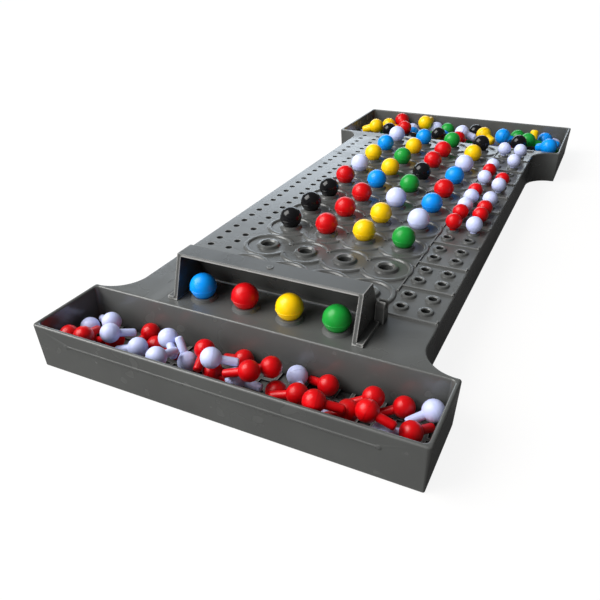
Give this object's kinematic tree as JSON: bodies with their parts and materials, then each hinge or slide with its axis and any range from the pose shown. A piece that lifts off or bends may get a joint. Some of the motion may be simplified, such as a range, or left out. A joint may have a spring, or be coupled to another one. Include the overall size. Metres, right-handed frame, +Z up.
{
  "type": "code breaking peg game",
  "caption": "Code-breaking peg game: flat grey board with a peg field between two trays, a flip-up shield over the secret row, ball-headed coloured pegs and small key pegs.",
  "frame": {"origin": "middle of the board's footprint, on the surface the board lies on", "axes": "+Z up; +Y along the board from the code maker's end, with the narrow tray and the shield, to the wide tray at the far end; +X across the board to the key peg holes"},
  "size_m": [0.1082, 0.2564, 0.0262],
  "materials": {
    "board_grey": "dark grey moulded polystyrene, semi-gloss, with glossier inner walls",
    "shield_grey": "dark grey moulded polystyrene, semi-gloss",
    "peg_red": "opaque red moulded plastic, glossy",
    "peg_white": "opaque white moulded plastic, glossy",
    "peg_black": "opaque black moulded plastic, glossy",
    "peg_yellow": "opaque yellow moulded plastic, glossy",
    "peg_blue": "opaque blue moulded plastic, glossy",
    "peg_green": "opaque green moulded plastic, glossy"
  },
  "bodies": {
    "board": {"board": "board_grey"},
    "shield": {"code_shield": "shield_grey"},
    "code_peg_c1_black": {"code_peg_c1_black": "peg_black"},
    "code_peg_c2_red": {"code_peg_c2_red": "peg_red"},
    "code_peg_c3_yellow": {"code_peg_c3_yellow": "peg_yellow"},
    "code_peg_c4_green": {"code_peg_c4_green": "peg_green"},
    "code_peg_d1_black": {"code_peg_d1_black": "peg_black"},
    "code_peg_d2_red": {"code_peg_d2_red": "peg_red"},
    "code_peg_d3_yellow": {"code_peg_d3_yellow": "peg_yellow"},
    "code_peg_d4_white": {"code_peg_d4_white": "peg_white"},
    "code_peg_e1_black": {"code_peg_e1_black": "peg_black"},
    "code_peg_e2_red": {"code_peg_e2_red": "peg_red"},
    "code_peg_e3_white": {"code_peg_e3_white": "peg_white"},
    "code_peg_e4_blue": {"code_peg_e4_blue": "peg_blue"},
    "code_peg_f1_red": {"code_peg_f1_red": "peg_red"},
    "code_peg_f2_blue": {"code_peg_f2_blue": "peg_blue"},
    "code_peg_f3_green": {"code_peg_f3_green": "peg_green"},
    "code_peg_f4_red": {"code_peg_f4_red": "peg_red"},
    "code_peg_g1_white": {"code_peg_g1_white": "peg_white"},
    "code_peg_g2_yellow": {"code_peg_g2_yellow": "peg_yellow"},
    "code_peg_g3_black": {"code_peg_g3_black": "peg_black"},
    "code_peg_g4_blue": {"code_peg_g4_blue": "peg_blue"},
    "code_peg_h1_yellow": {"code_peg_h1_yellow": "peg_yellow"},
    "code_peg_h2_green": {"code_peg_h2_green": "peg_green"},
    "code_peg_h3_red": {"code_peg_h3_red": "peg_red"},
    "code_peg_h4_white": {"code_peg_h4_white": "peg_white"},
    "code_peg_i1_blue": {"code_peg_i1_blue": "peg_blue"},
    "code_peg_i2_yellow": {"code_peg_i2_yellow": "peg_yellow"},
    "code_peg_i3_red": {"code_peg_i3_red": "peg_red"},
    "code_peg_i4_yellow": {"code_peg_i4_yellow": "peg_yellow"},
    "code_peg_j1_white": {"code_peg_j1_white": "peg_white"},
    "code_peg_j2_blue": {"code_peg_j2_blue": "peg_blue"},
    "code_peg_j3_green": {"code_peg_j3_green": "peg_green"},
    "code_peg_j4_black": {"code_peg_j4_black": "peg_black"},
    "secret_peg_1_blue": {"secret_peg_1_blue": "peg_blue"},
    "secret_peg_2_red": {"secret_peg_2_red": "peg_red"},
    "secret_peg_3_yellow": {"secret_peg_3_yellow": "peg_yellow"},
    "secret_peg_4_green": {"secret_peg_4_green": "peg_green"},
    "key_pegs_d_red": {"key_pegs_d_red": "peg_red"},
    "key_pegs_d_white": {"key_pegs_d_white": "peg_white"},
    "key_pegs_e_red": {"key_pegs_e_red": "peg_red"},
    "key_pegs_e_white": {"key_pegs_e_white": "peg_white"},
    "key_pegs_f_red": {"key_pegs_f_red": "peg_red"},
    "key_pegs_f_white": {"key_pegs_f_white": "peg_white"},
    "key_pegs_g_red": {"key_pegs_g_red": "peg_red"},
    "key_pegs_g_white": {"key_pegs_g_white": "peg_white"},
    "key_pegs_h_red": {"key_pegs_h_red": "peg_red"},
    "key_pegs_h_white": {"key_pegs_h_white": "peg_white"},
    "key_pegs_i_white": {"key_pegs_i_white": "peg_white"},
    "key_pegs_j_white": {"key_pegs_j_white": "peg_white"},
    "loose_code_pegs": {"loose_code_pegs_black": "peg_black", "loose_code_pegs_blue": "peg_blue", "loose_code_pegs_green": "peg_green", "loose_code_pegs_red": "peg_red", "loose_code_pegs_white": "peg_white", "loose_code_pegs_yellow": "peg_yellow"},
    "loose_key_pegs": {"loose_key_pegs_red": "peg_red", "loose_key_pegs_white": "peg_white"}
  },
  "joints": [
    {"name": "shield_flip", "type": "hinge", "parent": "board", "child": "shield", "pos_m": [0, -0.0879, 0.018], "axis": [-1, 0, 0], "range_deg": [0, 135]},
    {"name": "code_peg_c1_black_lift", "type": "slide", "parent": "board", "child": "code_peg_c1_black", "axis": [0, 0, 1], "range_m": [0, 0.02]},
    {"name": "code_peg_c2_red_lift", "type": "slide", "parent": "board", "child": "code_peg_c2_red", "axis": [0, 0, 1], "range_m": [0, 0.02]},
    {"name": "code_peg_c3_yellow_lift", "type": "slide", "parent": "board", "child": "code_peg_c3_yellow", "axis": [0, 0, 1], "range_m": [0, 0.02]},
    {"name": "code_peg_c4_green_lift", "type": "slide", "parent": "board", "child": "code_peg_c4_green", "axis": [0, 0, 1], "range_m": [0, 0.02]},
    {"name": "code_peg_d1_black_lift", "type": "slide", "parent": "board", "child": "code_peg_d1_black", "axis": [0, 0, 1], "range_m": [0, 0.02]},
    {"name": "code_peg_d2_red_lift", "type": "slide", "parent": "board", "child": "code_peg_d2_red", "axis": [0, 0, 1], "range_m": [0, 0.02]},
    {"name": "code_peg_d3_yellow_lift", "type": "slide", "parent": "board", "child": "code_peg_d3_yellow", "axis": [0, 0, 1], "range_m": [0, 0.02]},
    {"name": "code_peg_d4_white_lift", "type": "slide", "parent": "board", "child": "code_peg_d4_white", "axis": [0, 0, 1], "range_m": [0, 0.02]},
    {"name": "code_peg_e1_black_lift", "type": "slide", "parent": "board", "child": "code_peg_e1_black", "axis": [0, 0, 1], "range_m": [0, 0.02]},
    {"name": "code_peg_e2_red_lift", "type": "slide", "parent": "board", "child": "code_peg_e2_red", "axis": [0, 0, 1], "range_m": [0, 0.02]},
    {"name": "code_peg_e3_white_lift", "type": "slide", "parent": "board", "child": "code_peg_e3_white", "axis": [0, 0, 1], "range_m": [0, 0.02]},
    {"name": "code_peg_e4_blue_lift", "type": "slide", "parent": "board", "child": "code_peg_e4_blue", "axis": [0, 0, 1], "range_m": [0, 0.02]},
    {"name": "code_peg_f1_red_lift", "type": "slide", "parent": "board", "child": "code_peg_f1_red", "axis": [0, 0, 1], "range_m": [0, 0.02]},
    {"name": "code_peg_f2_blue_lift", "type": "slide", "parent": "board", "child": "code_peg_f2_blue", "axis": [0, 0, 1], "range_m": [0, 0.02]},
    {"name": "code_peg_f3_green_lift", "type": "slide", "parent": "board", "child": "code_peg_f3_green", "axis": [0, 0, 1], "range_m": [0, 0.02]},
    {"name": "code_peg_f4_red_lift", "type": "slide", "parent": "board", "child": "code_peg_f4_red", "axis": [0, 0, 1], "range_m": [0, 0.02]},
    {"name": "code_peg_g1_white_lift", "type": "slide", "parent": "board", "child": "code_peg_g1_white", "axis": [0, 0, 1], "range_m": [0, 0.02]},
    {"name": "code_peg_g2_yellow_lift", "type": "slide", "parent": "board", "child": "code_peg_g2_yellow", "axis": [0, 0, 1], "range_m": [0, 0.02]},
    {"name": "code_peg_g3_black_lift", "type": "slide", "parent": "board", "child": "code_peg_g3_black", "axis": [0, 0, 1], "range_m": [0, 0.02]},
    {"name": "code_peg_g4_blue_lift", "type": "slide", "parent": "board", "child": "code_peg_g4_blue", "axis": [0, 0, 1], "range_m": [0, 0.02]},
    {"name": "code_peg_h1_yellow_lift", "type": "slide", "parent": "board", "child": "code_peg_h1_yellow", "axis": [0, 0, 1], "range_m": [0, 0.02]},
    {"name": "code_peg_h2_green_lift", "type": "slide", "parent": "board", "child": "code_peg_h2_green", "axis": [0, 0, 1], "range_m": [0, 0.02]},
    {"name": "code_peg_h3_red_lift", "type": "slide", "parent": "board", "child": "code_peg_h3_red", "axis": [0, 0, 1], "range_m": [0, 0.02]},
    {"name": "code_peg_h4_white_lift", "type": "slide", "parent": "board", "child": "code_peg_h4_white", "axis": [0, 0, 1], "range_m": [0, 0.02]},
    {"name": "code_peg_i1_blue_lift", "type": "slide", "parent": "board", "child": "code_peg_i1_blue", "axis": [0, 0, 1], "range_m": [0, 0.02]},
    {"name": "code_peg_i2_yellow_lift", "type": "slide", "parent": "board", "child": "code_peg_i2_yellow", "axis": [0, 0, 1], "range_m": [0, 0.02]},
    {"name": "code_peg_i3_red_lift", "type": "slide", "parent": "board", "child": "code_peg_i3_red", "axis": [0, 0, 1], "range_m": [0, 0.02]},
    {"name": "code_peg_i4_yellow_lift", "type": "slide", "parent": "board", "child": "code_peg_i4_yellow", "axis": [0, 0, 1], "range_m": [0, 0.02]},
    {"name": "code_peg_j1_white_lift", "type": "slide", "parent": "board", "child": "code_peg_j1_white", "axis": [0, 0, 1], "range_m": [0, 0.02]},
    {"name": "code_peg_j2_blue_lift", "type": "slide", "parent": "board", "child": "code_peg_j2_blue", "axis": [0, 0, 1], "range_m": [0, 0.02]},
    {"name": "code_peg_j3_green_lift", "type": "slide", "parent": "board", "child": "code_peg_j3_green", "axis": [0, 0, 1], "range_m": [0, 0.02]},
    {"name": "code_peg_j4_black_lift", "type": "slide", "parent": "board", "child": "code_peg_j4_black", "axis": [0, 0, 1], "range_m": [0, 0.02]},
    {"name": "secret_peg_1_blue_lift", "type": "slide", "parent": "board", "child": "secret_peg_1_blue", "axis": [0, 0, 1], "range_m": [0, 0.0044]},
    {"name": "secret_peg_2_red_lift", "type": "slide", "parent": "board", "child": "secret_peg_2_red", "axis": [0, 0, 1], "range_m": [0, 0.0044]},
    {"name": "secret_peg_3_yellow_lift", "type": "slide", "parent": "board", "child": "secret_peg_3_yellow", "axis": [0, 0, 1], "range_m": [0, 0.0044]},
    {"name": "secret_peg_4_green_lift", "type": "slide", "parent": "board", "child": "secret_peg_4_green", "axis": [0, 0, 1], "range_m": [0, 0.0044]},
    {"name": "key_pegs_d_red_lift", "type": "slide", "parent": "board", "child": "key_pegs_d_red", "axis": [0, 0, 1], "range_m": [0, 0.02]},
    {"name": "key_pegs_d_white_lift", "type": "slide", "parent": "board", "child": "key_pegs_d_white", "axis": [0, 0, 1], "range_m": [0, 0.02]},
    {"name": "key_pegs_e_red_lift", "type": "slide", "parent": "board", "child": "key_pegs_e_red", "axis": [0, 0, 1], "range_m": [0, 0.02]},
    {"name": "key_pegs_e_white_lift", "type": "slide", "parent": "board", "child": "key_pegs_e_white", "axis": [0, 0, 1], "range_m": [0, 0.02]},
    {"name": "key_pegs_f_red_lift", "type": "slide", "parent": "board", "child": "key_pegs_f_red", "axis": [0, 0, 1], "range_m": [0, 0.02]},
    {"name": "key_pegs_f_white_lift", "type": "slide", "parent": "board", "child": "key_pegs_f_white", "axis": [0, 0, 1], "range_m": [0, 0.02]},
    {"name": "key_pegs_g_red_lift", "type": "slide", "parent": "board", "child": "key_pegs_g_red", "axis": [0, 0, 1], "range_m": [0, 0.02]},
    {"name": "key_pegs_g_white_lift", "type": "slide", "parent": "board", "child": "key_pegs_g_white", "axis": [0, 0, 1], "range_m": [0, 0.02]},
    {"name": "key_pegs_h_red_lift", "type": "slide", "parent": "board", "child": "key_pegs_h_red", "axis": [0, 0, 1], "range_m": [0, 0.02]},
    {"name": "key_pegs_h_white_lift", "type": "slide", "parent": "board", "child": "key_pegs_h_white", "axis": [0, 0, 1], "range_m": [0, 0.02]},
    {"name": "key_pegs_i_white_lift", "type": "slide", "parent": "board", "child": "key_pegs_i_white", "axis": [0, 0, 1], "range_m": [0, 0.02]},
    {"name": "key_pegs_j_white_lift", "type": "slide", "parent": "board", "child": "key_pegs_j_white", "axis": [0, 0, 1], "range_m": [0, 0.02]},
    {"name": "loose_code_pegs_lift", "type": "slide", "parent": "board", "child": "loose_code_pegs", "axis": [0, 0, 1], "range_m": [0, 0.025]},
    {"name": "loose_key_pegs_lift", "type": "slide", "parent": "board", "child": "loose_key_pegs", "axis": [0, 0, 1], "range_m": [0, 0.025]}
  ]
}
